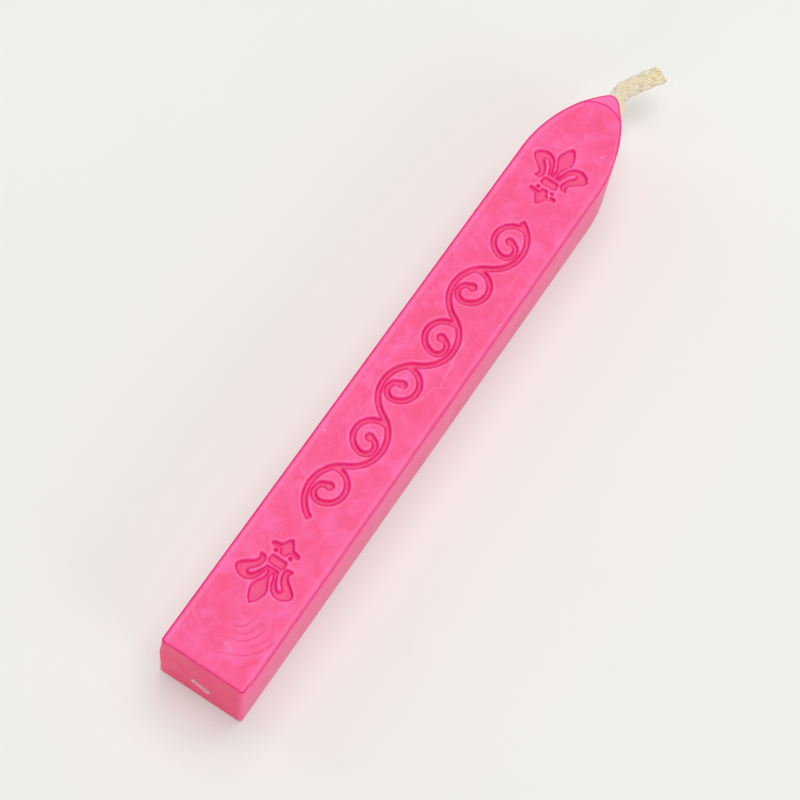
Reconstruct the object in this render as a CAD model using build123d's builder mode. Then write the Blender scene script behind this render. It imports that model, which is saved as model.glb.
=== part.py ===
# Sealing wax stick: a square bar of wax, cast round a wick that is a flat plait of three cotton strands.
# Millimetres. The origin is the middle of the face that it rests on, the nose points along +X, and +Z is up.
import math
import os

from build123d import *

# Wax bar, measured at its upper face: from there its sides spread a little, so that it could leave the mould
bar_length = 90.5
bar_width = 11.2
bar_height = 11.2
draft_angle = 0.75
flank_radius = 19.0
nose_radius = 1.2
corner_radius = 0.4
top_edge_radius = 0.22
bottom_edge_radius = 0.4

# Facet that slopes down to the nose, seen from above as a crescent
facet_length = 2.1
facet_radius = 3.7
facet_slope = 14.0
facet_sweep = 110.0

# Ornament sunk into the upper face: a lily at each end and a running scroll between them
engraving_depth = 0.4
lily_length = 9.25
lily_base_inset = 9.2
lily_nose_inset = 9.65
collar_length = 1.2
collar_width = 2.2
collar_corner = 0.35
scroll_gap = 3.15
scroll_waves = 6
scroll_rise = 2.4
scroll_stroke = 0.75
bud_radius = 0.58

# Places in one wave of the scroll, as shares of half its length and of its rise
curl_leaving = 0.77
curl_low_place = (0.23, -0.72)
curl_turn_place = (-0.39, 0.06)
bud_place = (0.19, 0.1)

# Plaited wick
strand_names = ("a", "b", "c")
strand_diameter = 0.5
strand_gap = 0.18
plait_width = 2.3
plait_pitch = 5.4
plait_edge_turn = 100.0
plait_base_turn = 55.0
plait_roll = 25.0
plait_end_roll = 4.0
wick_clearance = 0.1
wick_base_height = 3.75
wick_nose_height = 4.3
wick_knee = (5.0, 0.4, 0.9)
wick_tip = (9.4, -2.55, 1.15)
wick_bend_radius = 6.0
wick_overrun = 5.0

# Share of a run that an arc may take at each end, and share of a corner's rise left once it is rounded
run_share = 0.45
rounded_share = 0.62

# Places along the bar
base_x = -bar_length / 2
nose_x = bar_length / 2
half_width = bar_width / 2
lily_base_x = base_x + lily_base_inset
lily_nose_x = nose_x - lily_nose_inset
scroll_start = lily_base_x + lily_length + scroll_gap
scroll_step = (lily_nose_x - lily_length - scroll_gap - scroll_start) / scroll_waves

# Nose arc and flank arc: the two circles touch where the line through their centres meets them
nose_centre_x = nose_x - nose_radius
flank_drop = flank_radius - half_width
shoulder_x = nose_centre_x - math.sqrt((flank_radius - nose_radius) ** 2 - flank_drop**2)
touch_angle = math.atan2(flank_drop, nose_centre_x - shoulder_x)

# The facet is part of a cone round an upright axis
facet_centre_x = nose_x - facet_length - facet_radius
facet_reach = 2 * facet_length
facet_drop = facet_reach * math.tan(math.radians(facet_slope))
facet_turn = math.radians(facet_sweep / 2)
facet_plane = Plane(
    origin=(facet_centre_x, 0, bar_height),
    x_dir=(math.cos(facet_turn), -math.sin(facet_turn), 0),
    z_dir=(-math.sin(facet_turn), -math.cos(facet_turn), 0),
)

# The wick's way through the bar, and the plait's size
draft_slope = math.tan(math.radians(draft_angle))
base_exit = Vector(base_x - (bar_height - wick_base_height) * draft_slope, 0, wick_base_height)
nose_exit = Vector(nose_x + (bar_height - wick_nose_height) * draft_slope, 0, wick_nose_height)
bore_direction = (nose_exit - base_exit).normalized()
bore_start = base_exit - bore_direction * wick_overrun
bore_length = (nose_exit - bore_start).length
bore_plane = Plane(origin=bore_start, x_dir=(0, 1, 0), z_dir=bore_direction)
plait_rise = strand_diameter + strand_gap
plait_thickness = 2 * rounded_share * plait_rise + strand_diameter
plait_reach = (plait_width - strand_diameter) / 2

os.makedirs("parts", exist_ok=True)


def on_circle(centre, radius, angle):
    """Point on a circle, for an angle in radians."""
    return (centre[0] + radius * math.cos(angle), centre[1] + radius * math.sin(angle))


def middle_petal():
    """Upper half of the lily's middle petal, from its point to the root where the three petals meet."""
    point = (0, 0)
    belly = (1.9, 1.02)
    crotch = (4.5, 0.36)
    root_side = (5.05, 0.36)
    root = (5.05, 0)
    with BuildLine() as outline:
        ThreePointArc(point, (0.85, 0.68), belly)
        Spline(belly, (3.0, 0.68), (3.8, 0.31), crotch)
        Polyline(crotch, root_side, root, point)
    return outline.edges()


def side_petal():
    """One curled side petal of the lily, with a tongue left standing inside the curl."""
    root_low = (5.05, 0.12)
    root_high = (5.05, 0.84)
    outer_places = ((3.95, 0.6), (2.75, 1.12), (2.15, 2.55), (3.15, 3.83), (4.35, 2.8), (5.2, 2.05))
    hook_tip = (5.78, 2.35)
    hook_low = (5.3, 1.2)
    tongue_top = (3.45, 2.22)
    tongue_low = (3.2, 1.75)
    with BuildLine() as outline:
        Spline(root_low, *outer_places, hook_tip)
        ThreePointArc(hook_tip, (5.92, 1.75), hook_low)
        Spline(hook_low, (4.3, 1.5), tongue_top)
        ThreePointArc(tongue_top, (3.12, 2.12), tongue_low)
        Spline(tongue_low, (3.9, 1.25), root_high)
        Line(root_high, root_low)
    return outline.edges()


def foot():
    """Upper half of the lily's three-pointed foot, past the collar and its two dots."""
    near = (6.85, 0)
    shoulder = (6.95, 0.45)
    notch = (7.46, 0.55)
    lobe_near = (7.38, 1.5)
    lobe_tip = (7.64, 1.87)
    lobe_far = (7.95, 1.52)
    waist = (8.13, 0.78)
    point = (9.25, 0)
    with BuildLine() as outline:
        Polyline(near, shoulder, notch, lobe_near)
        ThreePointArc(lobe_near, lobe_tip, lobe_far)
        Line(lobe_far, waist)
        ThreePointArc(waist, (8.68, 0.5), point)
        Line(point, near)
    return outline.edges()


def lily():
    """Lily ornament, its petal point at the origin and its foot at lily_length along +X."""
    drawn_length = 9.25
    collar_place = 5.9
    dot_place = 7.03
    dot_side = 0.98
    dot_radius = 0.25
    with BuildSketch() as half:
        make_face(middle_petal())
        make_face(side_petal())
        make_face(foot())
    with BuildSketch() as ornament:
        add(half.sketch)
        mirror(half.sketch, about=Plane.XZ)
        with Locations((collar_place, 0)):
            RectangleRounded(collar_length, collar_width, collar_corner)
        with Locations((dot_place, dot_side), (dot_place, -dot_side)):
            Circle(dot_radius)
        scale(by=lily_length / drawn_length)
    return ornament.sketch


def in_wave(start, side, place):
    """Point of one wave of the scroll, from its shares of half the wave's length and of its rise."""
    half = scroll_step / 2
    return (start + half + place[0] * half, side * place[1] * scroll_rise)


def scroll_wave(start, side):
    """One wave of the scroll: the stem's arch, the curl that leaves it and turns in under it, and its bud."""
    half = scroll_step / 2
    middle = start + half
    arch_radius = (half**2 + scroll_rise**2) / (2 * scroll_rise)
    leaving = curl_leaving * half
    leaving_height = math.sqrt(arch_radius**2 - leaving**2) - arch_radius + scroll_rise
    curl_start = (middle + leaving, side * leaving_height)
    curl_low = in_wave(start, side, curl_low_place)
    curl_turn = in_wave(start, side, curl_turn_place)
    bud = in_wave(start, side, bud_place)
    with BuildLine() as stem:
        ThreePointArc((start, 0), (middle, side * scroll_rise), (start + scroll_step, 0))
    with BuildLine() as curl:
        outer = ThreePointArc(curl_start, curl_low, curl_turn)
        TangentArc(outer @ 1, bud, tangent=outer % 1)
    return stem.line, curl.line, bud


def wick_route():
    """The wick's centreline: straight through the bar, up a little past the nose, then off to one side."""
    knee = nose_exit + Vector(*wick_knee)
    tip = nose_exit + Vector(*wick_tip)
    past_tip = tip + (tip - knee).normalized() * wick_overrun
    with BuildLine() as centreline:
        FilletPolyline(bore_start, nose_exit, knee, past_tip, radius=wick_bend_radius)
    return centreline.wire()


def wick_frame(route, distance):
    """Plane across the wick: its local X runs along the plait's width, its local Y along its thickness."""
    place = route.position_at(distance, position_mode=PositionMode.LENGTH)
    along = route.tangent_at(distance, position_mode=PositionMode.LENGTH)
    free_length = route.length - wick_overrun - bore_length
    free_share = min(max((distance - bore_length) / free_length, 0), 1)
    roll = math.radians(plait_roll + free_share * (plait_end_roll - plait_roll))
    level = Vector(0, 0, 1).cross(along).normalized()
    width = level * math.cos(roll) + along.cross(level) * math.sin(roll)
    return Plane(origin=place, x_dir=width, z_dir=along)


def strand_corners(route, lead):
    """Corners of one strand's path: it dips along each edge of the plait, then climbs across to the other."""
    half_edge = plait_edge_turn / 2
    turns = (
        (90 - half_edge, plait_reach, plait_rise),
        (90 + half_edge, plait_reach, -plait_rise),
        (270 - half_edge, -plait_reach, plait_rise),
        (270 + half_edge, -plait_reach, -plait_rise),
    )
    spare_periods = 2
    last_period = math.ceil(route.length / plait_pitch) + spare_periods
    corners = []
    for period in range(-spare_periods, last_period):
        for turn, across, up in turns:
            distance = wick_overrun + plait_pitch * (period + (turn - lead) / 360)
            if 0 <= distance <= route.length:
                corners.append(wick_frame(route, distance).from_local_coords((across, up, 0)))
    return corners


def corner_radii(corners):
    """Radius at each inner corner of a path, as large as its two runs allow."""
    radii = []
    for before, here, after in zip(corners, corners[1:], corners[2:]):
        run_in = here - before
        run_out = after - here
        half_angle = math.radians(run_in.get_angle(run_out)) / 2
        radii.append(run_share * min(run_in.length, run_out.length) / math.tan(half_angle))
    return radii


# Wax bar
with BuildPart() as wax_bar:
    with BuildSketch(Plane.XY.offset(bar_height)):
        with BuildLine():
            flank_centre = (shoulder_x, half_width - flank_radius)
            flank_end = on_circle(flank_centre, flank_radius, touch_angle)
            flank_middle = on_circle(flank_centre, flank_radius, (touch_angle + math.pi / 2) / 2)
            nose_middle = on_circle((nose_centre_x, 0), nose_radius, touch_angle / 2)
            base_corner = (base_x, half_width)
            FilletPolyline((base_x, 0), base_corner, (shoulder_x, half_width), radius=corner_radius)
            ThreePointArc((shoulder_x, half_width), flank_middle, flank_end)
            ThreePointArc(flank_end, nose_middle, (nose_x, 0))
            mirror(about=Plane.XZ)
        make_face()
    extrude(amount=bar_height, dir=(0, 0, -1), taper=-draft_angle)
    fillet(wax_bar.faces().sort_by(Axis.Z)[-1].outer_wire().edges(), radius=top_edge_radius)
    fillet(wax_bar.faces().sort_by(Axis.Z)[0].outer_wire().edges(), radius=bottom_edge_radius)
    with BuildSketch(facet_plane):
        with BuildLine():
            facet_end = facet_radius + facet_reach
            Polyline((facet_radius, 0), (facet_end, 0), (facet_end, -facet_drop), close=True)
        make_face()
    facet_axis = Axis((facet_centre_x, 0, 0), (0, 0, 1))
    revolve(axis=facet_axis, revolution_arc=facet_sweep, mode=Mode.SUBTRACT)
    with BuildSketch(bore_plane):
        bore_width = plait_width + 2 * wick_clearance
        SlotOverall(bore_width, plait_thickness + 2 * wick_clearance, rotation=plait_roll)
    extrude(amount=bore_length + wick_overrun, mode=Mode.SUBTRACT)
    with BuildSketch(Plane.XY.offset(bar_height)):
        with Locations(Location((lily_base_x, 0, 0))):
            add(lily())
        with Locations(Location((lily_nose_x, 0, 0), (0, 0, 180))):
            add(lily())
        for wave in range(scroll_waves):
            stem, curl, bud = scroll_wave(scroll_start + wave * scroll_step, (-1) ** wave)
            trace(stem, line_width=scroll_stroke)
            trace(curl, line_width=scroll_stroke)
            with Locations(bud):
                Circle(bud_radius)
    extrude(amount=-engraving_depth, mode=Mode.SUBTRACT)
wax_bar.part.label = "wax_bar"
export_step(wax_bar.part, "parts/wax_bar.step")

# Wick: three strands, each a third of a pitch behind the last, cut flush at the base and square at the tip
route = wick_route()
tip_plane = wick_frame(route, route.length - wick_overrun)
print("wick length", round(route.length - 2 * wick_overrun, 1))
for place, letter in enumerate(strand_names):
    corners = strand_corners(route, plait_base_turn - 360 * place / len(strand_names))
    radii = corner_radii(corners)
    with BuildPart() as wick_strand:
        with BuildLine() as path:
            FilletPolyline(*corners, radius=radii)
        with BuildSketch(Plane(origin=path.line @ 0, z_dir=path.line % 0)):
            Circle(strand_diameter / 2)
        sweep(path=path.wire())
        split(bisect_by=Plane.YZ.offset(base_exit.X), keep=Keep.TOP)
        split(bisect_by=tip_plane, keep=Keep.BOTTOM)
    wick_strand.part.label = f"wick_strand_{letter}"
    export_step(wick_strand.part, f"parts/wick_strand_{letter}.step")
    print(wick_strand.part.label, "tightest bend", round(min(radii), 2))
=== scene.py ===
# %% [markdown]
# # A stick of sealing wax
# A bar of pink wax is cast round a flat plaited wick. It has a square end, a pointed nose, and an ornament
# pressed into its upper face: a lily near each end, with a running scroll between them.
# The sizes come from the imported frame, so this lesson only dresses it: wax first, then cotton, then light.

# %% Load the frame
import math

import bmesh
import bpy
import numpy as np
from mathutils import Matrix, Vector, kdtree
from mathutils.bvhtree import BVHTree
from mathutils.geometry import tessellate_polygon


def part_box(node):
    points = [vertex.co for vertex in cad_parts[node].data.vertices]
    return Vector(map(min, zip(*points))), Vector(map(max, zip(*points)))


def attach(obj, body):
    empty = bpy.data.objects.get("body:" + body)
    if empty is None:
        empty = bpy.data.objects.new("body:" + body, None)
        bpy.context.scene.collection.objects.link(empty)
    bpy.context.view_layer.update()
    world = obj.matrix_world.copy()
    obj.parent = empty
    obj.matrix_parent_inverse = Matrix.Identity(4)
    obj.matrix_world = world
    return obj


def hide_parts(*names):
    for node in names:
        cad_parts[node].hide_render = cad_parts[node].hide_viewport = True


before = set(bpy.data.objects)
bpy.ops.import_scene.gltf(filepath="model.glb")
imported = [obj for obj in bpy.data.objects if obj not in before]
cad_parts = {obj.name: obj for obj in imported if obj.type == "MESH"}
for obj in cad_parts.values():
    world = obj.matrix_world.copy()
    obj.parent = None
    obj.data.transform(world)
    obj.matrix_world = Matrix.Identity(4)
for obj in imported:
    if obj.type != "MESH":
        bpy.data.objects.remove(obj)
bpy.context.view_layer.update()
print("frame holds", sorted(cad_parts))

# %% [markdown]
# ## Helpers for shapes
# Shapes are worked out here in millimetres, as a maker would, and written to the meshes in metres.
# One helper makes a piece from points and faces, keeps the extra numbers that its finish needs on each point,
# and says which solid of the frame it stands for. The other two are a soft step and a soft bump, which most of
# the shapes and marks below are made of.

# %% A helper for new pieces
MM = 0.001


def make_piece(name, points, faces, marks, node):
    """Smooth mesh from points in millimetres, with a number per point for each mark, in place of a solid."""
    mesh = bpy.data.meshes.new(name)
    mesh.from_pydata((np.asarray(points) * MM).tolist(), [], faces)
    for mark, values in marks.items():
        layer = mesh.attributes.new(mark, "FLOAT", "POINT")
        layer.data.foreach_set("value", np.asarray(values, np.float32))
    piece = bpy.data.objects.new(name, mesh)
    bpy.context.scene.collection.objects.link(piece)
    mesh.shade_smooth()
    if node:
        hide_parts(node)
    return piece


def ease(value, low, high):
    """0 below low, 1 above high, and a smooth S between them."""
    share = np.clip((value - low) / (high - low), 0.0, 1.0)
    return share * share * (3.0 - 2.0 * share)


def bell(value, middle, width):
    """1 at the middle, and falling away smoothly on both sides of it."""
    return np.exp(-(((value - middle) / width) ** 2))


print("lengths below are in millimetres; one is", MM, "m")

# %% [markdown]
# ## The bar's outline
# Seen from above, the bar is a rectangle whose far end narrows in two long arcs to a small round nose. Its
# sides aren't quite upright: the mould was a little narrower at its floor, which made the upper face, so that
# the bar could be pulled out. It could be drawn as a curve and extruded, but the ornament needs a fine, even
# grid on the upper face. So the bar is a row of stations: at each one we keep how far along it is, how wide
# the upper face is there, and which way the side faces. Stations lie close where there is ornament, and far
# apart where it is bare.

# %% Stations from the square end to the nose
bar_low, bar_high = (np.array(corner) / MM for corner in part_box("wax_bar"))
bar_height = bar_high[2]
draft = math.tan(math.radians(0.75))
full_spread = draft * bar_height
base_x, nose_x = bar_low[0] + full_spread, bar_high[0] - full_spread
half_width = bar_high[1] - full_spread
corner_radius, flank_radius, nose_radius = 0.4, 19.0, 1.2
nose_centre_x = nose_x - nose_radius
flank_drop = flank_radius - half_width
shoulder_x = nose_centre_x - math.sqrt((flank_radius - nose_radius) ** 2 - flank_drop**2)
touch_angle = math.atan2(flank_drop, nose_centre_x - shoulder_x)

bare_base, bare_nose = 8.9, 9.1
corner_steps, bare_steps, fine_steps, flank_steps, nose_steps = 9, 62, 570, 80, 15
ornament_start, ornament_end = base_x + bare_base, nose_x - bare_nose
corner_x = base_x + corner_radius * (1 - np.cos(np.linspace(0, math.pi / 2, corner_steps)))
bare_x = np.linspace(base_x + corner_radius, ornament_start, bare_steps)[1:]
fine_x = np.linspace(ornament_start, ornament_end, fine_steps)[1:]
flank_start = math.acos((ornament_end - shoulder_x) / flank_radius)
flank_angles = np.linspace(flank_start, touch_angle, flank_steps)[1:]
nose_angles = np.linspace(touch_angle, 0, nose_steps)[1:]

sunk = np.sqrt(np.clip(corner_radius**2 - (base_x + corner_radius - corner_x) ** 2, 0, None))
straight_x = np.concatenate([bare_x, fine_x[fine_x <= shoulder_x]])
turned_x = fine_x[fine_x > shoulder_x]
turned = np.concatenate([np.arccos((turned_x - shoulder_x) / flank_radius), flank_angles])
station_x = np.concatenate(
    [
        corner_x,
        straight_x,
        shoulder_x + flank_radius * np.cos(turned),
        nose_centre_x + nose_radius * np.cos(nose_angles),
    ]
)
station_y = np.concatenate(
    [
        half_width - corner_radius + sunk,
        np.full(len(straight_x), half_width),
        half_width - flank_radius + flank_radius * np.sin(turned),
        nose_radius * np.sin(nose_angles),
    ]
)
facing = np.concatenate([np.full(len(corner_x) + len(straight_x), math.pi / 2), turned, nose_angles])
stations = len(station_x)
print(stations, "stations; the flanks start at", round(shoulder_x, 2), "and the nose is at", round(nose_x, 2))

# %% [markdown]
# ## One ring of points round the bar
# Each station carries the same ring of points: across the upper face, over the rounded edge, down the side,
# round the lower edge and back. The edges are real roundings, because a poured bar has no sharp edge and the
# thin line of light on them is what makes wax look soft.

# %% Rings and their roundings
top_radius, bottom_radius = 0.22, 0.4
ornament_half = 4.1
fine_places, edge_places, quarter_places, bottom_places = 77, 7, 5, 7
inner_half = half_width - top_radius
across_fine = np.linspace(-ornament_half, ornament_half, fine_places)
across_edge = np.linspace(ornament_half, inner_half, edge_places)[1:]
across = np.concatenate([-across_edge[::-1], across_fine, across_edge]) / inner_half
quarter = np.linspace(math.pi / 2, 0, quarter_places)[1:]
side_shares = np.array([0.015, 0.035, 0.06, 0.09, 0.13, 0.18, 0.26, 0.4, 0.6, 0.8, 1.0])
bottom_across = np.linspace(1, -1, bottom_places)[1:-1]
from_base = station_x - base_x


def end_sink(radius):
    """How far the square end's rounded edge lies below its flat neighbour, at each station."""
    short_of_radius = np.clip(radius - from_base, 0, None)
    return radius - np.sqrt(np.clip(radius**2 - short_of_radius**2, 0, None))


top_sink, bottom_sink = end_sink(top_radius), end_sink(bottom_radius)
normal_x, normal_y = np.cos(facing), np.sin(facing)
side_count = 2 * len(quarter) + len(side_shares)
print("a ring has", len(across) + 2 * side_count + len(bottom_across), "points")

# %% [markdown]
# ## The facet at the nose
# Above the wick the upper face is pared down to the nose. From above the pared place is a crescent, because
# its inner edge is an arc, so it is part of a cone: the further a point lies from the arc's middle, the lower
# it is.

# %% Height of the upper face before the ornament
facet_length, facet_radius, facet_offset = 2.05, 3.7, -0.12
facet_fall = math.tan(math.radians(14))
facet_centre_x, facet_centre_y = nose_x - facet_length - facet_radius, facet_offset
crease_softness = 0.05
crescent_turns, crescent_close = (0.75, 1.15), 1.2
far_off = 1e3


def past_crease(x, y):
    """How far a point lies past the facet's inner edge, negative before it and beside it."""
    turn = np.abs(np.arctan2(y - facet_centre_y, x - facet_centre_x))
    past = np.hypot(x - facet_centre_x, y - facet_centre_y) - facet_radius
    return past - crescent_close * ease(turn, *crescent_turns) - np.where(x < facet_centre_x, far_off, 0)


def facet_drop(x, y):
    """How much the facet takes off the upper face, with its edge eased a little."""
    past = np.clip(past_crease(x, y), -5, None)
    eased = 0.5 * (past + np.sqrt(past**2 + crease_softness**2))
    return np.where(past > -4 * crease_softness, facet_fall * eased, 0.0)


print("at the nose the facet lies", round(float(facet_drop(nose_x, 0.0)), 2), "below the upper face")

# %% [markdown]
# ## The skin's points
# Now every ring gets its points, in the order of a walk round the bar: over the upper face, down the left
# side, under the bar and up the right side. A place on a side is an inset from the outline and a height, so
# one list serves both sides. The lower a point lies, the further out the draft moves it.

# %% Points of every ring
tight_edge, draft_reach = 0.1, 3
edge_x = station_x - normal_x * top_radius
edge_y = station_y - normal_y * top_radius
face_x = np.repeat(edge_x[:, None], len(across), axis=1)
face_y = edge_y[:, None] * across[None, :]
face_z = bar_height - top_sink[:, None] - facet_drop(face_x, face_y)
rim_z = face_z[:, -1]
rim_fall = np.clip(bar_height - top_sink - rim_z, 0, 1)
rounding = top_radius - tight_edge * ease(rim_fall, 0.02, 0.4)


def ring_part(inset, height, side):
    """Points one inset in from the outline, which spreads below the upper face, on the side +1 or -1."""
    inward = inset - draft * (bar_height - height)
    x, y = station_x - normal_x * inward, station_y - normal_y * inward
    return np.stack([x, side * y, height], axis=1)[:, None]


side_profile = []
for angle in quarter:
    side_profile.append((top_radius * (1 - math.cos(angle)), rim_z - rounding * (1 - math.sin(angle))))
side_top, side_low = rim_z - rounding, bottom_sink + bottom_radius
for share in side_shares:
    side_profile.append((0.0, side_top + share * (side_low - side_top)))
for angle in quarter[::-1][1:]:
    side_profile.append((bottom_radius * (1 - math.cos(angle)), side_low - bottom_radius * math.sin(angle)))
side_profile.append((bottom_radius, bottom_sink))

low_x = station_x - normal_x * (bottom_radius - full_spread)
low_y = station_y - normal_y * (bottom_radius - full_spread)
rows = [np.stack([face_x, face_y, face_z], axis=2)]
rows.extend(ring_part(inset, height, 1) for inset, height in side_profile)
rows.extend(np.stack([low_x, low_y * share, bottom_sink], axis=1)[:, None] for share in bottom_across)
rows.extend(ring_part(inset, height, -1) for inset, height in side_profile[::-1])
rings = np.concatenate(rows, axis=1)
end_lean = draft * (bar_height - rings[:, :, 2])
rings[:, :, 0] -= end_lean * (1 - ease(rings[:, :, 0], base_x, base_x + draft_reach))
ring_size = rings.shape[1]
print("the bar's skin is", stations, "rings of", ring_size, "points")

# %% [markdown]
# ## The ornament
# The lilies and the scroll are sunk into the wax by the mould. The solid in the frame already has them, with
# square walls, so they aren't drawn again: we take the flat floors of its grooves and ask, for each point of
# the fine grid, how far it lies inside or outside them.

# %% How far each point lies inside the grooves
groove_depth = 0.4
outline_step = 0.04
cad_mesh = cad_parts["wax_bar"].data
cad_mesh.calc_loop_triangles()
cad_points = np.zeros(len(cad_mesh.vertices) * 3)
cad_mesh.vertices.foreach_get("co", cad_points)
cad_points = cad_points.reshape(-1, 3) / MM
cad_triangles = np.zeros(len(cad_mesh.loop_triangles) * 3, np.int32)
cad_mesh.loop_triangles.foreach_get("vertices", cad_triangles)
cad_triangles = cad_triangles.reshape(-1, 3)
on_floor = np.abs(cad_points[:, 2] - (bar_height - groove_depth)) < 1e-3
floor_triangles = cad_triangles[on_floor[cad_triangles].all(axis=1)]

edge_uses = {}
for triangle in floor_triangles:
    corners = [tuple(np.round(cad_points[corner, :2], 4)) for corner in triangle]
    for start, end in zip(corners, corners[1:] + corners[:1]):
        edge_uses[frozenset((start, end))] = edge_uses.get(frozenset((start, end)), 0) + 1
outline_points = []
for edge, uses in edge_uses.items():
    if uses == 1 and len(edge) == 2:
        start, end = (np.array(corner) for corner in edge)
        steps = max(2, int(np.linalg.norm(end - start) / outline_step))
        outline_points.extend(start + (end - start) * step / steps for step in range(steps))
outline_tree = kdtree.KDTree(len(outline_points))
for index, point in enumerate(outline_points):
    outline_tree.insert((point[0], point[1], 0.0), index)
outline_tree.balance()
floors = BVHTree.FromPolygons(
    [(p[0], p[1], 0.0) for p in cad_points], [tuple(int(i) for i in triangle) for triangle in floor_triangles]
)


def inside_groove(x, y):
    """Distance to the groove's outline: positive over its floor, negative outside it."""
    off = floors.find_nearest((x, y, 0.0))[3]
    if off > 1e-4:
        return -off
    return outline_tree.find((x, y, 0.0))[2]


inside = np.array([inside_groove(x, y) for x, y in zip(face_x.ravel(), face_y.ravel())])
inside = inside.reshape(face_x.shape)
print(len(floor_triangles), "floor triangles, with", len(outline_points), "points on their outlines")

# %% [markdown]
# ## Lips, walls and floors
# That distance becomes height: a rounded lip, a sloping wall and a flat floor, as a mould leaves them. Walls
# and floors are also painted deeper than the face, as painted shade in the grooves, so each point keeps how much
# it belongs to them.

# %% Sink the ornament
lip, wall_foot = 0.06, 0.22
face_count = len(across)
wall_share = np.clip((inside + lip) / (lip + wall_foot), 0, 1)
sunk_share = wall_share * wall_share * (3 - 2 * wall_share)
# Painted shade: the walls and floors of the grooves are painted deeper.
wall_shade_mark = 4 * wall_share * (1 - wall_share)
floor_shade_mark = ease(inside, 0.1, 0.3)
rings[:, :face_count, 2] -= groove_depth * sunk_share
print("share of the upper face that is sunk:", round(float((inside > 0).mean()), 3))

# %% [markdown]
# ## Traces of pouring and handling
# The upper face isn't a perfect plane. Near the square end the wax set in faint curved ripples, the face is
# slightly uneven, and it has picked up pale scuffs and specks. The ripples and unevenness are a few hundredths
# of a millimetre of real height, and each trace is also kept as a number on the points, so that the finish
# can use it. The ripples are rings round a place near the lily. They wander, and fade in and out.

# %% Ripples and unevenness
ripple_height, uneven_depth = 0.014, 0.012
ripple_first, ripple_spacing = 3.65, 0.9
ripple_x, ripple_y = face_x - (base_x + 8.6), face_y - 0.9
ripple_radius = np.hypot(ripple_x, ripple_y)
ripple_turn = np.arctan2(-ripple_x, -ripple_y)
wobble = 0.5 * np.sin(3.1 * ripple_turn + 0.8 * ripple_radius) + 0.35 * np.sin(7.3 * ripple_turn - 1.1)
ripple_phase = 2 * math.pi * (ripple_radius - ripple_first) / ripple_spacing + 1.3 * wobble
ripples = 2 * (0.5 + 0.5 * np.cos(ripple_phase)) ** 2.5 - 0.75 + 0.3 * np.cos(2 * ripple_phase + 0.9)
ripple_sides = np.maximum(bell(ripple_turn, 0.75, 0.75), 0.5 * bell(ripple_turn, 2.2, 0.6))
ripple_reach = ease(ripple_radius, 1.7, 2.8) * (1 - ease(ripple_radius, 6.2, 7.9))
patchy = 0.38 * np.sin(2.6 * ripple_turn + 2.1 * ripple_radius)
patchy = 0.62 + patchy * np.cos(1.3 * ripple_radius - 4.1 * ripple_turn)
ripple_mark = np.clip(patchy * ripples * ripple_sides * ripple_reach, -1, 1)
uneven = np.sin(0.23 * face_x + 0.6) * np.cos(0.55 * face_y) + 0.6 * np.sin(0.61 * face_x - 0.8 * face_y)
away_from_edge = ease(np.minimum(inner_half - np.abs(face_y), from_base[:, None]), 0.1, 1.5)
sag = ripple_height * (ripple_mark - 1) - uneven_depth * (1 + 0.5 * uneven)
rings[:, :face_count, 2] += away_from_edge * sag
print("ripples reach", round(float(np.abs(ripple_mark).max()) * ripple_height, 4), "mm")

# %% [markdown]
# Scuffs are short strokes where something dragged over the wax. Each is given by its two ends, its width and
# its strength, and a point is scuffed by how near it lies to the stroke.

# %% Scuffs
scuffs = [
    ((6.2, -2.9), (4.0, -2.9), 0.16, 0.5),
    ((4.0, -2.9), (-0.9, -3.5), 0.16, 0.55),
    ((-4.2, -2.5), (-1.9, -3.0), 0.14, 0.5),
    ((-1.9, -3.0), (-0.9, -4.0), 0.14, 0.45),
    ((-5.8, -0.1), (-7.6, -0.7), 0.12, 0.4),
    ((16.6, -3.3), (14.4, -3.5), 0.14, 0.4),
    ((-4.2, 0.1), (-3.6, 0.1), 0.12, 1.0),
    ((36.4, -3.3), (36.8, -3.5), 0.12, 0.9),
    ((28.3, -0.7), (28.0, -1.0), 0.11, 0.9),
    ((35.5, 0.6), (36.6, 0.0), 0.1, 0.6),
    ((-41.5, -0.6), (-41.6, -1.3), 0.35, 0.45),
]
scuff_mark = np.zeros_like(face_x)
for start, end, width, strength in scuffs:
    run = np.array(end) - np.array(start)
    share = ((face_x - start[0]) * run[0] + (face_y - start[1]) * run[1]) / run.dot(run)
    share = np.clip(share, 0, 1)
    off = np.hypot(face_x - start[0] - share * run[0], face_y - start[1] - share * run[1])
    scuff_mark = np.maximum(scuff_mark, strength * bell(off, 0, width))
print(len(scuffs), "scuffs touch", int((scuff_mark > 0.1).sum()), "points")

# %% [markdown]
# ## Where the wick leaves the nose
# The wax was drawn up a little round the wick, so the skin swells there, and the whole nose leans a hair to one
# side. One corner of the square end bulges a little half way down. A carver would rub these in with a thumb.
# Here each is a soft bump, added to the points near it.

# %% Swell and lean of the nose, and the corner's bulge
wick_nose_height = 4.3
nose_swell, nose_lean, nose_pinch = 0.28, -0.15, 0.045
corner_bulge, bulge_height, bulge_reach = 0.16, 6.4, 1.2
swell = np.exp(-(((rings[:, :, 2] - wick_nose_height) / 1.0) ** 2) - (rings[:, :, 1] / 1.5) ** 2)
swell = nose_swell * swell * ease(rings[:, :, 0], nose_x - 2.0, nose_x)
rings[:, :, 0] += swell
to_nose = np.clip((rings[:, :, 0] - shoulder_x) / (nose_x - shoulder_x), 0, 1)
pinched = 1 - nose_pinch * ease(to_nose, 0.72, 0.96)
rings[:, :, 1] = rings[:, :, 1] * pinched + nose_lean * to_nose
at_left = ease(rings[:, :, 1], half_width - bulge_reach, half_width)
at_base = 1 - ease(rings[:, :, 0], base_x, base_x + bulge_reach)
bulge = corner_bulge * (at_left * at_base) * bell(rings[:, :, 2], bulge_height, 2.4)
rings[:, :, 0] -= bulge
rings[:, :, 1] += bulge
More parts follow.
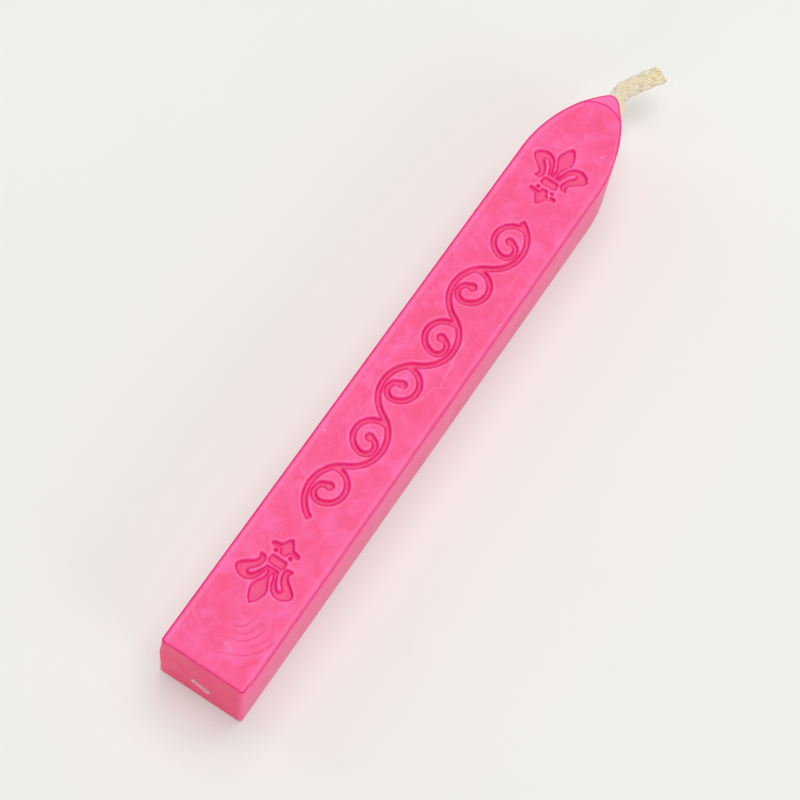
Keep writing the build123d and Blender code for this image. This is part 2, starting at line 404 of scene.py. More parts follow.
print("the nose swells by", round(float(swell.max()), 2), "and the corner by", round(float(bulge.max()), 2))

# %% [markdown]
# ## The skin's faces and the square end
# Neighbouring rings are joined by bands of faces. In the square end the wick is cut flush, in a slot of its
# own size. So the end face is a set of rings that run from the bar's outline in towards the slot, then plain
# triangles up to the slot's edge, and a shallow dish of wax inside it that the yarns stand in.

# %% Faces of the skin, and the end face with its slot
slot_height, slot_roll = 3.75, math.radians(25)
slot_half_length, slot_half_width, slot_points = 1.32, 0.74, 72
points = [rings.reshape(-1, 3)]
faces = []
for station in range(stations - 1):
    here, there = station * ring_size, (station + 1) * ring_size
    for place in range(ring_size):
        after = (place + 1) % ring_size
        faces.append((here + place, there + place, there + after, here + after))


def on_end(flat, depth=0.0):
    """Points of the square end, which leans with the draft, from their places across it and their depth."""
    return np.column_stack([base_x - draft * (bar_height - flat[:, 1]) + depth, flat])


def squared(wave):
    """A sine or cosine with its values pushed outwards, so that an oval becomes a rounded oblong."""
    return np.sign(wave) * np.abs(wave) ** 0.5


def slot_loop(scale):
    """Rounded oblong round the wick's flush end, as places across the square end."""
    turn = np.linspace(0, 2 * math.pi, slot_points, endpoint=False)
    along = scale * slot_half_length * squared(np.cos(turn))
    up = (slot_half_width - (1 - scale) * slot_half_length) * squared(np.sin(turn))
    sideways = along * math.cos(slot_roll) - up * math.sin(slot_roll)
    return np.column_stack([sideways, slot_height + along * math.sin(slot_roll) + up * math.cos(slot_roll)])


def add_loop(loop, previous):
    """Adds a loop of points, joined by a band of faces to the loop before it, and says which points it has."""
    first = sum(map(len, points))
    current = list(range(first, first + len(loop)))
    points.append(loop)
    for place in range(len(loop) if previous else 0):
        after = (place + 1) % len(loop)
        faces.append((previous[place], previous[after], current[after], current[place]))
    return current


outline = list(range(ring_size))
slot_middle = np.array([(0.0, slot_height)])
for share in np.linspace(0, 0.6, 7)[1:]:
    flat = rings[0, :, 1:] * (1 - share) + slot_middle * share
    level = rings[0, :, 0] * (1 - share) + on_end(slot_middle)[0, 0] * share
    outline = add_loop(np.column_stack([level, flat]), outline)
slot_edge = add_loop(on_end(slot_loop(1.0)), None)
inner_loop = slot_edge
for scale, depth in ((0.97, 0.05), (0.9, 0.09)):
    inner_loop = add_loop(on_end(slot_loop(scale), depth), inner_loop)
faces.append(tuple(inner_loop))
all_points = np.concatenate(points)
loops = [[Vector((*all_points[place][1:], 0)) for place in loop] for loop in (outline, slot_edge)]
numbers = outline + slot_edge
faces.extend(tuple(numbers[place] for place in triangle) for triangle in tessellate_polygon(loops))
print(len(faces), "faces; the slot is", 2 * slot_half_length, "by", 2 * slot_half_width, "mm")

# %% [markdown]
# ## Marks for the finish
# Nothing is painted yet. First each point is told what it is: near a rim, on the facet, low on a side, in the
# square end. The finish reads these marks as shares, so its colours follow the shape, from any side. Several of
# them carry painted light and shade: a painted shade line along the rims, painted glow near them and painted
# highlights on the lips. The rim's painted shade line is thin on the left and lies a little lower on the right,
# and near the ends the two meet.

# %% Rims, facet and edges of the upper face
skin_count = stations * ring_size
end_count = len(all_points) - skin_count
blank = np.zeros((stations, ring_size))
crease = past_crease(face_x, face_y)
rim_distance = (1 - np.abs(across))[None, :] * edge_y[:, None]
base_distance = from_base[:, None]
# Painted shade: a deeper line along the rims, the facet's crease and the top edge of the square end.
rim_shade_share = np.where((face_y > 0) | (face_x > shoulder_x + 5.5), 0.6, 0.1)
rim_shade_mark = np.maximum(rim_shade_share * bell(rim_distance, 0, 0.12), bell(crease, 0, 0.12))
rim_shade_mark = np.maximum(rim_shade_mark, 0.64 * bell(base_distance, 0, 0.24))
facet_mark = ease(crease, 0.0, 0.15) * (0.8 + 0.2 * np.cos(2 * math.pi * crease / 0.5))
# Painted glow: the upper face is painted a little paler within about a millimetre of its rims.
edge_glow_mark = bell(np.minimum(rim_distance, base_distance), 0, 1.1)
# Painted highlight: pale lines just outside the grooves and a pale band inside the rims.
shine_inset = np.where(face_y < 0, 0.08, 0.35)
lip_highlight_mark = np.maximum(bell(inside, -0.2, 0.13), bell(rim_distance, shine_inset, 0.25))
print("the facet has", int((facet_mark > 0.5).sum()), "points of the upper face")

# %% [markdown]
# On the sides, a painted shade line lies just under the rim, a painted glow lies a little further down and
# along the right corner, and painted shade darkens them near the table. The square end is painted deeper as
# shade. In the square end, the wax that was drawn into the slot is marked as a plug, partly its own pale colour
# and partly painted highlight, strongest at its two ends.

# %% Sides, square end and slot
below = rim_z[:, None] - rings[:, :, 2]
on_right = rings[:, :, 1] < 0
at_ends = ease(station_x, shoulder_x + 4.0, shoulder_x + 7.0) + 1 - ease(from_base, 0.4, 2.0)
# Painted shade: a deeper line just under the rim, which lies lower on the right away from the ends.
high_line = bell(below, 0.1, 0.16)
low_line = np.clip(1.4 * bell(below, 0.7, 0.46), 0, 1)
side_shade_line = np.where(on_right, low_line + (high_line - low_line) * at_ends[:, None], high_line)
rim_shade_values = blank.copy()
rim_shade_values[:, :face_count] = rim_shade_mark
rim_shade_values[:, face_count:] = side_shade_line[:, face_count:]
side_values = blank.copy()
side_values[:, face_count:] = 1.0
# Painted glow a little below the rim, and along the right corner at the square end.
corner_glow = side_values * on_right * bell(base_distance, 0, 0.45)
glow_values = np.maximum(side_values * bell(below, 1.8, 0.8), corner_glow)
# Painted shade: the square end and its corner are painted deeper.
end_shade_values = side_values * (1 - ease(from_base, 0.0, corner_radius))[:, None]
# Painted shade: the sides are painted darker towards the table.
low_shade_values = side_values * ease(below, 2.0, 10.5)
# The plug is painted pale as the soaked wick end, and paler still at its two ends as a painted highlight.
in_slot = np.arange(len(all_points)) > slot_edge[-1]
along_slot = all_points[:, 1] * math.cos(slot_roll) + (all_points[:, 2] - slot_height) * math.sin(slot_roll)
plug_and_highlight_mark = in_slot * (0.5 + 0.5 * ease(np.abs(along_slot), 0.75, 1.1))
print(int(in_slot.sum()), "points lie in the slot")

# %% [markdown]
# ## The finished bar
# The skin and its marks become one mesh. Points that fell together at the nose are joined, slivers are taken
# out, and the square end is shaded flat, because it is a true plane.

# %% The finished bar
join_distance, sliver = 0.002 * MM, 0.0005 * MM
flat_end_normal = -0.9993


def with_end(skin_values, end_value):
    """Mark of every point: its own value on the skin, and one value all over the square end."""
    return np.concatenate([skin_values.ravel(), np.full(end_count, end_value)])


def on_face(face_values):
    """Mark of every point: the given values on the upper face, and 0 elsewhere."""
    values = blank.copy()
    values[:, :face_count] = face_values
    return with_end(values, 0.0)


marks = {
    "groove_wall_shade": on_face(wall_shade_mark),
    "groove_floor_shade": on_face(floor_shade_mark),
    "ripple": on_face(ripple_mark),
    "scuff": on_face(scuff_mark),
    "facet": on_face(facet_mark),
    "edge": on_face(edge_glow_mark),
    "rim": with_end(rim_shade_values, 0.0),
    "side": with_end(side_values, 0.3),
    "end": with_end(end_shade_values, 1.0),
    "glow": with_end(glow_values, 0.0),
    "low": with_end(low_shade_values, 0.0),
    "plug_and_highlight": plug_and_highlight_mark,
    "lip": on_face(lip_highlight_mark),
}
wax_bar = make_piece("wax_bar_cast", all_points, faces, marks, "wax_bar")
skin = bmesh.new()
skin.from_mesh(wax_bar.data)
bmesh.ops.remove_doubles(skin, verts=skin.verts, dist=join_distance)
bmesh.ops.dissolve_degenerate(skin, edges=skin.edges, dist=sliver)
bmesh.ops.recalc_face_normals(skin, faces=skin.faces)
for face in skin.faces:
    face.smooth = face.normal.x > flat_end_normal
open_edges = sum(1 for edge in skin.edges if len(edge.link_faces) != 2)
skin.to_mesh(wax_bar.data)
skin.free()
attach(wax_bar, "root")
print("wax bar:", len(wax_bar.data.polygons), "faces and", open_edges, "open edges")

# %% [markdown]
# ## Helpers for finishes
# A finish is a small tree of nodes. These helpers put in one node at a time, so that a colour can be read from
# left to right: what is mixed, by which share, into what.

# %% Small helpers for node trees


def colour(red, green, blue):
    """A colour as seen on a screen, 0 to 255, in the linear values that nodes use."""
    linear = [((v / 255 + 0.055) / 1.055) ** 2.4 if v > 10.3 else v / 255 / 12.92 for v in (red, green, blue)]
    return (*linear, 1.0)


def new_finish(name):
    """A material, its node tree and its shader."""
    finish = bpy.data.materials.new(name)
    finish.use_nodes = True
    return finish, finish.node_tree, finish.node_tree.nodes["Principled BSDF"]


def put(tree, kind, inputs=None, **settings):
    """One node: settings are its own properties, and inputs are values or the sockets that feed it."""
    made = tree.nodes.new(kind)
    for name, value in settings.items():
        setattr(made, name, value)
    for name, value in (inputs or {}).items():
        if isinstance(value, bpy.types.NodeSocket):
            tree.links.new(value, made.inputs[name])
        else:
            made.inputs[name].default_value = value
    return made


def mixed(tree, share, first_colour, second_colour):
    """Colour between two others."""
    return put(tree, "ShaderNodeMix", {0: share, 6: first_colour, 7: second_colour}, data_type="RGBA").outputs[2]


def sum_of(tree, operation, first_value, second_value):
    """Two numbers put together."""
    return put(tree, "ShaderNodeMath", {0: first_value, 1: second_value}, operation=operation).outputs[0]


def stretch(tree, value, low, high, to_low=0.0, to_high=1.0):
    """A number moved from one range to another, with a smooth start and end."""
    inputs = {"Value": value, 1: low, 2: high, 3: to_low, 4: to_high}
    return put(tree, "ShaderNodeMapRange", inputs, interpolation_type="SMOOTHSTEP").outputs[0]


def clouds(tree, place, size, detail=4.0, rough=0.5, warp=0.0):
    """Soft random pattern whose patches are about one size across, in millimetres."""
    inputs = {"Vector": place, "Scale": 1 / (size * MM)}
    inputs.update({"Detail": detail, "Roughness": rough, "Distortion": warp})
    return put(tree, "ShaderNodeTexNoise", inputs).outputs["Fac"]


def mark_on(tree, name):
    """A mark that was kept on the points."""
    return put(tree, "ShaderNodeAttribute", attribute_name=name).outputs["Fac"]


def marked(tree, name, low, high, most):
    """A mark stretched to a share, from 0 where it is low to the most where it is high."""
    return stretch(tree, mark_on(tree, name), low, high, 0.0, most)


def settle(shader, **values):
    """Numbers that are the same all over the surface, on the shader's own sockets."""
    for name, value in values.items():
        shader.inputs[name.replace("_", " ")].default_value = value


print("a mid grey of 128 is", round(colour(128, 128, 128)[0], 3), "in linear light")

# %% [markdown]
# ## The colour of the wax
# Sealing wax is a resin with pigment stirred in, and the stirring leaves paler and deeper clouds. So the body
# of the colour is two pinks mixed by a large pattern, then a finer mottle, then a fine grain. The patterns
# are laid in space, so they run through the wax from face to face as real clouds do.

# %% Pink wax
wax_finish, tree, shader = new_finish("pink_wax")
wax_place = put(tree, "ShaderNodeTexCoord").outputs["Object"]
stirred = clouds(tree, wax_place, 7.0, 5.0, 0.55, 1.4)
mottle = clouds(tree, wax_place, 2.4, 4.0, 0.55, 0.6)
grain = clouds(tree, wax_place, 0.4, 3.0, 0.6)
paint = mixed(tree, stretch(tree, stirred, 0.36, 0.7), colour(245, 66, 133), colour(250, 82, 150))
paint = mixed(tree, stretch(tree, mottle, 0.45, 0.7, 0.0, 0.6), paint, colour(255, 110, 178))
paint = mixed(tree, stretch(tree, mottle, 0.52, 0.32, 0.0, 0.45), paint, colour(238, 50, 120))
paint = mixed(tree, stretch(tree, grain, 0.45, 0.8, 0.0, 0.25), paint, colour(238, 54, 118))
# Painted glow: paler near the rims of the upper face.
paint = mixed(tree, marked(tree, "edge", 0.0, 1.0, 0.12), paint, colour(255, 100, 168))
print("the body of the wax mixes", len(tree.nodes), "nodes")

# %% [markdown]
# Over the body come the traces, in the order that the eye takes them in: ripples, grooves, sides, rims, then
# specks and scuffs. Many of them are painted light and shade: painted shade in the grooves, on the square end,
# low on the sides and as a deeper line along the rims, for the shade and the light passing through thin edges,
# and painted highlights and glow on the lips and sides. Worn places look paler.

# %% Traces on the wax
drawn_out = {"Vector": wax_place, "Scale": (0.12, 1.0, 1.0), "Rotation": (0, 0, 0.14)}
scratch_place = put(tree, "ShaderNodeMapping", drawn_out).outputs[0]
scratches = stretch(tree, clouds(tree, scratch_place, 0.3, 2.0, 0.5), 0.62, 0.74)
specks = stretch(tree, clouds(tree, wax_place, 0.55, 1.0, 0.5), 0.79, 0.84, 0.0, 0.6)
broken_up = stretch(tree, grain, 0.36, 0.6, 0.15, 1.0)
traces = [
    (marked(tree, "ripple", 0.0, 0.9, 0.6), colour(232, 40, 106)),
    (marked(tree, "ripple", 0.0, -0.9, 0.4), colour(255, 114, 172)),
    (sum_of(tree, "MULTIPLY", scratches, 0.14), colour(255, 150, 192)),
    # Painted highlight on the grooves' lips and inside the rims.
    (marked(tree, "lip", 0.0, 1.0, 0.4), colour(255, 128, 184)),
    # Painted shade in the grooves: deeper floors and walls.
    (marked(tree, "groove_floor_shade", 0.0, 1.0, 0.6), colour(238, 52, 124)),
    (marked(tree, "groove_wall_shade", 0.1, 0.85, 0.85), colour(240, 18, 126)),
    # Painted light: the sides are painted paler.
    (marked(tree, "side", 0.4, 1.0, 0.6), colour(255, 98, 154)),
    # Painted shade low on the sides, near the table.
    (marked(tree, "low", 0.0, 1.0, 0.6), colour(238, 112, 150)),
    # Painted shade on the square end.
    (marked(tree, "end", 0.0, 1.0, 0.75), colour(250, 46, 106)),
    # The soaked plug: its own pale colour, with painted highlights at its two ends.
    (marked(tree, "plug_and_highlight", 0.0, 1.0, 0.95), colour(255, 226, 228)),
    # Painted glow under the rim and along the right corner.
    (marked(tree, "glow", 0.0, 1.0, 0.6), colour(255, 100, 160)),
    (marked(tree, "facet", 0.1, 1.0, 0.7), colour(255, 130, 196)),
    # Painted shade line along the rims and the facet's crease.
    (marked(tree, "rim", 0.1, 0.9, 0.92), colour(243, 12, 126)),
    (specks, colour(255, 190, 215)),
    (sum_of(tree, "MULTIPLY", marked(tree, "scuff", 0.05, 1.0, 0.85), broken_up), colour(255, 182, 212)),
]
for share, trace_colour in traces:
    paint = mixed(tree, share, paint, trace_colour)
tree.links.new(paint, shader.inputs["Base Color"])
print(len(traces), "traces lie over the body colour")

# %% [markdown]
# ## The sheen of the wax
# Wax is satin: it shines, but broadly, and less where it was scuffed or cut. Light also goes a little way into
# it, so shadows are soft. Numbers that are the same all over sit on the shader itself. The fine relief is far
# too shallow to model, so it only tilts the light.

# %% Sheen and fine relief of the wax
dull = stretch(tree, mottle, 0.35, 0.7, 0.36, 0.48)
duller = [("glow", 0.0, 1.0, 0.12), ("scuff", 0.1, 0.8, 0.2), ("facet", 0.2, 1.0, 0.12), ("rim", 0.3, 1.0, 0.5)]
for name, low, high, most in duller:
    dull = sum_of(tree, "ADD", dull, marked(tree, name, low, high, most))
tree.links.new(dull, shader.inputs["Roughness"])
relief = sum_of(tree, "ADD", mottle, sum_of(tree, "MULTIPLY", grain, 0.35))
relief = sum_of(tree, "SUBTRACT", relief, sum_of(tree, "MULTIPLY", scratches, 0.12))
relief = sum_of(tree, "MULTIPLY", relief, stretch(tree, mark_on(tree, "side"), 0.0, 1.0, 1.0, 0.12))
bump = put(tree, "ShaderNodeBump", {"Height": relief, "Strength": 0.35, "Distance": 0.06 * MM})
tree.links.new(bump.outputs[0], shader.inputs["Normal"])
settle(shader, Subsurface_Weight=0.3, Subsurface_Radius=(1.0, 0.32, 0.4), Subsurface_Scale=1.4 * MM)
settle(shader, IOR=1.45, Specular_IOR_Level=0.4)
wax_bar.data.materials.append(wax_finish)
print("pink wax uses", len(tree.nodes), "nodes")

# %% [markdown]
# ## The wick's line
# The wick runs straight through the bar, a little lower at the square end, leaves the nose, rises, and then
# lies off to one side, where it was cut a little aslant. It is a soft cord, so its line is a smooth curve: a
# NURBS spline whose control points are the places that the wick passes. The line runs on a little past the
# cut, so that the slanted yarns have a way to follow.

# %% Points along the wick
wick_start_x = base_x - draft * (bar_height - slot_height)
wick_exit_x = nose_x + draft * (bar_height - wick_nose_height)
wick_places = [
    (wick_start_x, 0.0, slot_height),
    (wick_exit_x - 4.3, 0.0, 4.27),
    (wick_exit_x, 2 * nose_lean, wick_nose_height),
    (wick_exit_x + 2.2, -0.45, 4.95),
    (wick_exit_x + 3.8, 0.55, 5.2),
    (wick_exit_x + 6.4, -0.68, 5.35),
    (wick_exit_x + 9.86, -2.88, 5.47),
]
spare_end = 0.4
wick_curve = bpy.data.curves.new("wick_line", "CURVE")
wick_curve.dimensions = "3D"
wick_spline = wick_curve.splines.new("NURBS")
wick_spline.points.add(len(wick_places) - 1)
for point, place in zip(wick_spline.points, wick_places):
    point.co = (*place, 1.0)
wick_spline.order_u = 3
wick_spline.use_endpoint_u = True
wick_spline.resolution_u = 240
wick_guide = bpy.data.objects.new("wick_line", wick_curve)
guide_mesh = bpy.data.meshes.new_from_object(wick_guide)
line = np.array([vertex.co for vertex in guide_mesh.vertices])
bpy.data.objects.remove(wick_guide)
line_run = np.concatenate([[0], np.cumsum(np.linalg.norm(np.diff(line, axis=0), axis=1))])
wick_length = line_run[-1] - spare_end
wick_at_nose = np.interp(wick_exit_x, line[:, 0], line_run)
print("wick:", round(wick_length, 1), "mm long, of which", round(wick_length - wick_at_nose, 1), "mm is free")

# %% [markdown]
# ## A flat plait of three strands
# Candle and wax wicks are plaited flat from cotton. In a flat plait each strand swings from one edge to the
# other once in a pitch and passes over and under the others twice, which is a figure of eight seen along the
# wick. The three strands follow one another by a third of a pitch. At its two cut ends the plait spreads a
# little.

# %% Where each strand lies
plait_pitch, plait_base_turn = 5.4, math.radians(55)
plait_width, plait_rise = 2.4, 0.12
strand_half_width, strand_half_thickness = 0.95, 0.26
plait_reach = plait_width / 2 - strand_half_width
plait_roll, plait_end_roll = math.radians(25), math.radians(4)
look_ahead = 0.15


def unit(vectors):
    """The same directions, one long."""
    return vectors / np.linalg.norm(vectors, axis=1)[:, None]


def wick_point(run):
    """Points of the wick's line at each distance along it."""
    return np.column_stack([np.interp(run, line_run, line[:, axis]) for axis in range(3)])


def wick_frame(run):
    """Middle, direction, width and thickness directions of the wick at each distance along it."""
    along = unit(wick_point(run + look_ahead) - wick_point(run - look_ahead))
    level = unit(np.cross((0.0, 0.0, 1.0), along))
    free_share = np.clip((run - wick_at_nose) / (wick_length - wick_at_nose), 0, 1)
    roll = (plait_roll + free_share * (plait_end_roll - plait_roll))[:, None]
    width = level * np.cos(roll) + np.cross(along, level) * np.sin(roll)
    return wick_point(run), along, width, np.cross(along, width)


def opened(run):
    """How much the plait spreads: a little towards its free end, and at the flush end."""
    return 1 + 0.08 * ease(run, wick_at_nose, wick_length) + 0.2 * (1 - ease(run, 0.0, 1.5))


def strand_line(run, place):
    """Middle line of one strand, with the plait's own directions there."""
    middle, along, width, thick = wick_frame(run)
    turn = plait_base_turn - place * 2 * math.pi / 3 + 2 * math.pi * run / plait_pitch
    swing = np.sign(np.sin(turn)) * np.abs(np.sin(turn)) ** 0.7 * opened(run)
    path = middle + width * (plait_reach * swing)[:, None] + thick * (plait_rise * np.sin(2 * turn))[:, None]
    return path, along, width, thick


plait_thickness = 2 * (plait_rise + strand_half_thickness)
print("the plait is", plait_width, "wide and", round(plait_thickness, 2), "thick")

# %% [markdown]
# ## Yarns
# Each strand is a bundle of loosely twisted yarns, pressed so wide and flat that the plait looks almost like a
# tape. So we lay twenty thin yarns round each strand's line, each a tube of varying thickness that turns slowly
# about it. Inside the bar nobody sees them, so their rings lie far apart there. They end at the slanted cut,
# not quite level with one another, and lie flush with the square end.

# %% Yarns of each strand
luck = np.random.default_rng(7)
yarns, yarn_sides, yarn_radius, yarn_pitch = 20, 6, 0.12, 14.0
yarn_spread, yarn_stack = 0.88, 0.55
cut_slant, shown_before_nose = 0.2, 2.5


def yarn_tube(run, place, number, cut):
    """Rings of one yarn, and how far along it and round it each point lies."""
    run = np.append(run[run < cut - 0.02], cut)
    path, _, flat, thick = strand_line(run, place)
    turn = 2 * math.pi * (number / yarns + run / yarn_pitch)
    middle = path + flat * (yarn_spread * strand_half_width * opened(run) * np.cos(turn))[:, None]
    middle = middle + thick * (yarn_stack * strand_half_thickness * np.sin(turn))[:, None]
    uneven_size = 0.1 * np.sin(2.1 * run + 5 * number + place)
    size = yarn_radius * (1 + uneven_size + 0.06 * np.sin(7.3 * run + number))
    size = size * (1 - 0.25 * ease(run, cut - 0.25, cut))
    angles = np.linspace(0, 2 * math.pi, yarn_sides, endpoint=False)
    tube = middle[:, None] + size[:, None, None] * (
        flat[:, None] * np.cos(angles)[None, :, None] + thick[:, None] * np.sin(angles)[None, :, None]
    )
    return tube, np.repeat(run, yarn_sides), np.tile(angles, len(run)) + number * 1.7


def tube_faces(first, count, sides):
    """Bands of faces between the rings of one tube, whose points start at the number first."""
    bands = []
    for ring in range(count - 1):
        here, there = first + ring * sides, first + (ring + 1) * sides
        for side in range(sides):
            after = (side + 1) % sides
            bands.append((here + side, here + after, there + after, there + side))
    return bands


shown_from = wick_at_nose - shown_before_nose
hidden = np.concatenate([[0.0, 0.3, 0.6], np.arange(1.0, shown_from, 0.8)])
strand_runs = np.concatenate([hidden, np.arange(shown_from, wick_length + 0.3, 0.11)])
end_middle, _, end_width, _ = wick_frame(np.array([wick_length]))
strands = {}
for place, letter in enumerate("abc"):
    tubes, along_marks, round_marks, strand_faces, first = [], [], [], [], 0
    for number in range(yarns):
        last_ring = yarn_tube(strand_runs, place, number, wick_length)[0][-1]
        aside = float((last_ring.mean(axis=0) - end_middle[0]) @ end_width[0])
        cut = wick_length - cut_slant * aside + luck.uniform(-0.1, 0.0)
        tube, along_mark, round_mark = yarn_tube(strand_runs, place, number, cut)
        flush_x = base_x - draft * (bar_height - tube[:, :, 2]) + luck.uniform(-0.02, 0.05)
        tube[:, :, 0] = np.maximum(tube[:, :, 0], flush_x)
        count = len(tube)
        strand_faces.extend(tube_faces(first, count, yarn_sides))
        strand_faces.append(tuple(first + side for side in range(yarn_sides))[::-1])
        strand_faces.append(tuple(first + (count - 1) * yarn_sides + side for side in range(yarn_sides)))
        tubes.append(tube.reshape(-1, 3))
        along_marks.append(along_mark)
        round_marks.append(round_mark)
        first += count * yarn_sides
    strand_points = np.concatenate(tubes)
    strand_marks = {"along": np.concatenate(along_marks), "round": np.concatenate(round_marks)}
    node = f"wick_strand_{letter}"
    strand = make_piece(f"wick_yarns_{letter}", strand_points, strand_faces, strand_marks, node)
    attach(strand, "root")
    strands[letter] = strand
print({letter: len(strand.data.polygons) for letter, strand in strands.items()}, "faces in the strands")

# %% [markdown]
# ## Loose fibres
# Cotton is never quite tidy: short fibres stand off the free end, most of them at the cut. They are far too
# thin to show from a step away, but up close they are what tells cotton from plastic. Each one is a thin
# tapering tube that starts in a strand and curls outwards, with its direction drawn from a seeded generator.

# %% Fuzz on the free end
fuzz_points, fuzz_faces, fuzz_along = [], [], []
fibres, fibres_at_cut = 64, 24
fibre_sides, fibre_rings, fibre_radius, fibre_taper = 4, 6, 0.016, 0.75
shares = np.linspace(0, 1, fibre_rings)
angles = np.linspace(0, 2 * math.pi, fibre_sides, endpoint=False)
for fibre in range(fibres):
    if fibre < fibres_at_cut:
        start_run = wick_length - 0.25 * luck.random()
        ahead_range, outwards, length_range = (0.5, 1.0), 0.5, (0.12, 0.3)
    else:
        start_run = luck.uniform(wick_at_nose + 0.8, wick_length - 0.3)
        ahead_range, outwards, length_range = (-0.3, 0.9), 0.8, (0.3, 0.6)
    path, ahead, flat, thick = strand_line(np.array([start_run - 0.1, start_run]), int(luck.integers(3)))
    spread = luck.normal(size=2)
    out = flat[1] * spread[0] + thick[1] * spread[1]
    out = out / np.linalg.norm(out)
    origin = path[1] + 0.3 * out * luck.random()
    heading = ahead[1] * luck.uniform(*ahead_range) + outwards * out
    length = luck.uniform(*length_range)
    curl = luck.normal(size=3) * 0.35
    middle = origin + np.outer(shares, heading * length) + np.outer(shares**2, curl * length)
    side_a = np.cross(heading, (0.3, 0.5, 0.8))
    side_a = side_a / np.linalg.norm(side_a)
    side_b = np.cross(heading / np.linalg.norm(heading), side_a)
    rim = np.outer(np.cos(angles), side_a) + np.outer(np.sin(angles), side_b)
    fuzz_faces.extend(tube_faces(len(fuzz_along), fibre_rings, fibre_sides))
    for share, place in zip(shares, middle):
        fuzz_points.append(place + fibre_radius * (1 - fibre_taper * share) * rim)
        fuzz_along.extend([start_run] * fibre_sides)
fuzz_marks = {"along": fuzz_along, "round": np.zeros(len(fuzz_along))}
fuzz = make_piece("wick_fuzz", np.concatenate(fuzz_points), fuzz_faces, fuzz_marks, None)
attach(fuzz, "root")
print(fibres, "loose fibres with", len(fuzz.data.polygons), "faces")

# %% [markdown]
# ## The finish of the cotton
# Undyed cotton is cream, a little darker in the furrows between fibres and stained here and there where wax
# soaked in. The fibres run along each yarn, so their pattern is read from how far along and round the yarn a
# point lies, and not from its place in space. The flush end is soaked with pink wax and painted paler towards
# its two edges as a painted highlight, and the free tip is a little yellower.

# %% Cream cotton
cotton_finish, tree, shader = new_finish("cream_cotton")
fibre_along = sum_of(tree, "MULTIPLY", mark_on(tree, "along"), 0.7)
fibre_round = sum_of(tree, "MULTIPLY", mark_on(tree, "round"), 2.4)
fibre_place = put(tree, "ShaderNodeCombineXYZ", {0: fibre_along, 1: fibre_round}).outputs[0]
fibre_noise = {"Vector": fibre_place, "Scale": 1.6, "Detail": 4.0}
fibre_lines = put(tree, "ShaderNodeTexNoise", fibre_noise).outputs["Fac"]
cotton_place = put(tree, "ShaderNodeTexCoord").outputs["Object"]
stains = clouds(tree, cotton_place, 2.2, 3.0, 0.5, 0.8)
thread = mixed(tree, stretch(tree, fibre_lines, 0.35, 0.68), colour(248, 230, 192), colour(255, 246, 220))
thread = mixed(tree, stretch(tree, stains, 0.48, 0.72, 0.0, 0.45), thread, colour(252, 236, 184))
thread = mixed(tree, stretch(tree, stains, 0.42, 0.26, 0.0, 0.45), thread, colour(250, 220, 192))
off_middle = put(tree, "ShaderNodeSeparateXYZ", {0: cotton_place}).outputs["Y"]
# Painted highlight: the flush end is painted paler towards its two edges.
edge_highlight = stretch(tree, sum_of(tree, "ABSOLUTE", off_middle, 0.0), 0.8 * MM, 1.05 * MM)
soaked_and_highlight = mixed(tree, edge_highlight, colour(250, 172, 184), colour(255, 236, 234))
free_tip = marked(tree, "along", wick_length - 5.0, wick_length, 0.5)
thread = mixed(tree, free_tip, thread, colour(252, 236, 186))
thread = mixed(tree, marked(tree, "along", 0.8, 0.3, 0.85), thread, soaked_and_highlight)
tree.links.new(thread, shader.inputs["Base Color"])
fibre_bump = put(tree, "ShaderNodeBump", {"Height": fibre_lines, "Strength": 0.35, "Distance": 0.03 * MM})
tree.links.new(fibre_bump.outputs[0], shader.inputs["Normal"])
settle(shader, Roughness=0.85, Specular_IOR_Level=0.25, Sheen_Weight=0.25, Sheen_Roughness=0.6)
settle(shader, Subsurface_Weight=0.4, Subsurface_Radius=(1.0, 0.85, 0.6), Subsurface_Scale=0.35 * MM)
for piece in (*strands.values(), fuzz):
    piece.data.materials.append(cotton_finish)
print("cream cotton uses", len(tree.nodes), "nodes")

# %% [markdown]
# ## The table
# The stick lies on a plain pale table. A white table beside pink wax takes up so much pink light that the
# whole picture looks tinted. So a part of what is seen of the table is its own pale colour without shade, and
# the rest keeps the stick's shadow.

# %% Pale table
table_half, pale_share = 3.0, 0.3
table_corners = [(x * table_half, y * table_half, 0) for x, y in ((-1, -1), (1, -1), (1, 1), (-1, 1))]
table_mesh = bpy.data.meshes.new("pale_table")
table_mesh.from_pydata(table_corners, [], [(0, 1, 2, 3)])
table = bpy.data.objects.new("pale_table", table_mesh)
bpy.context.scene.collection.objects.link(table)
table_finish, tree, shader = new_finish("pale_paper")
table_place = put(tree, "ShaderNodeTexCoord").outputs["Object"]
paper = mixed(tree, clouds(tree, table_place, 40.0, 3.0), colour(238, 237, 233), colour(242, 241, 238))
tree.links.new(paper, shader.inputs["Base Color"])
settle(shader, Roughness=0.8, Specular_IOR_Level=0.15)
rays = put(tree, "ShaderNodeLightPath").outputs
seen = rays["Is Camera Ray"]
for kind in ("Is Glossy Ray", "Is Transmission Ray"):
    seen = sum_of(tree, "MAXIMUM", seen, rays[kind])
pale = put(tree, "ShaderNodeEmission", {"Color": colour(240, 239, 235), "Strength": 1.0}).outputs[0]
shaded = {0: sum_of(tree, "MULTIPLY", seen, pale_share), 1: shader.outputs[0], 2: pale}
surface = put(tree, "ShaderNodeMixShader", shaded).outputs[0]
tree.links.new(surface, tree.nodes["Material Output"].inputs["Surface"])
table_mesh.materials.append(table_finish)
print("table is", 2 * table_half, "m wide")

# %% [markdown]
# ## Light
# Soft daylight comes mostly from beyond the nose, so the square end is in its own shade. One broad lamp
# overhead stands for the window, three weak ones round about fill the sides, and an even sky does the rest.

# %% Soft light


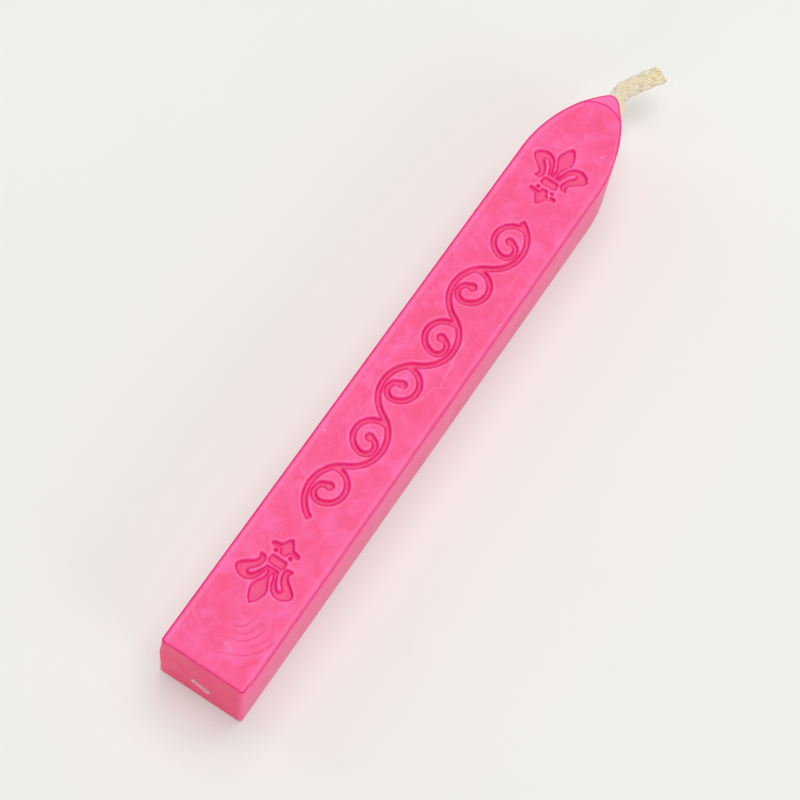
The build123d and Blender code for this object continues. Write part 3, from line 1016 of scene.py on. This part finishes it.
def soft_lamp(name, place, aim, size, power):
    """A square lamp that looks at a point."""
    lamp_data = bpy.data.lights.new(name, "AREA")
    lamp_data.size = size
    lamp_data.energy = power
    lamp = bpy.data.objects.new(name, lamp_data)
    lamp.location = place
    lamp.rotation_euler = (Vector(aim) - Vector(place)).to_track_quat("-Z", "Y").to_euler()
    bpy.context.scene.collection.objects.link(lamp)
    return lamp


lamps = [
    soft_lamp("window_light", (0.3, 0.02, 1.0), (0, 0, 0), 0.8, 7.1),
    soft_lamp("right_fill", (-0.1, -0.95, 0.38), (0, 0, 0), 0.6, 3.0),
    soft_lamp("left_fill", (0.0, 0.85, 0.55), (0, 0, 0), 0.6, 1.7),
    soft_lamp("near_fill", (-0.93, -0.1, 0.22), (0, 0, 0), 0.4, 1.75),
]
sky = bpy.data.worlds.new("even_sky")
sky.use_nodes = True
sky.node_tree.nodes["Background"].inputs["Color"].default_value = (1.0, 1.0, 0.99, 1.0)
sky.node_tree.nodes["Background"].inputs["Strength"].default_value = 0.26
bpy.context.scene.world = sky
bpy.context.scene.view_settings.view_transform = "Standard"
print("lamps:", {lamp.name: round(lamp.data.energy, 2) for lamp in lamps})

# %% [markdown]
# ## Camera
# The camera looks down steeply with a long lens, turned a little, as the photograph was taken. Its place is
# given as a distance from a point on the stick, a height angle and a heading, which are easy to picture.

# %% Camera
camera_target = Vector((-2.98, 0.30, 5.6)) * MM
camera_distance = 297.8 * MM
camera_elevation, camera_heading, camera_roll = (math.radians(v) for v in (66.23, 21.3, 12.6))
forward = Vector(
    (
        math.cos(camera_elevation) * math.cos(camera_heading),
        math.cos(camera_elevation) * math.sin(camera_heading),
        -math.sin(camera_elevation),
    )
)
level_right = forward.cross(Vector((0, 0, 1))).normalized()
level_up = level_right.cross(forward)
right = level_right * math.cos(camera_roll) + level_up * math.sin(camera_roll)
up = right.cross(forward)
camera_data = bpy.data.cameras.new("camera")
camera_data.lens = 111.64
camera_data.sensor_width = 36.0
camera_data.clip_start = 0.01
camera = bpy.data.objects.new("camera", camera_data)
turned_to = Matrix((right, up, -forward)).transposed().to_4x4()
camera.matrix_world = Matrix.Translation(camera_target - forward * camera_distance) @ turned_to
bpy.context.scene.collection.objects.link(camera)
bpy.context.scene.camera = camera
print("camera at", tuple(round(v, 4) for v in camera.location))
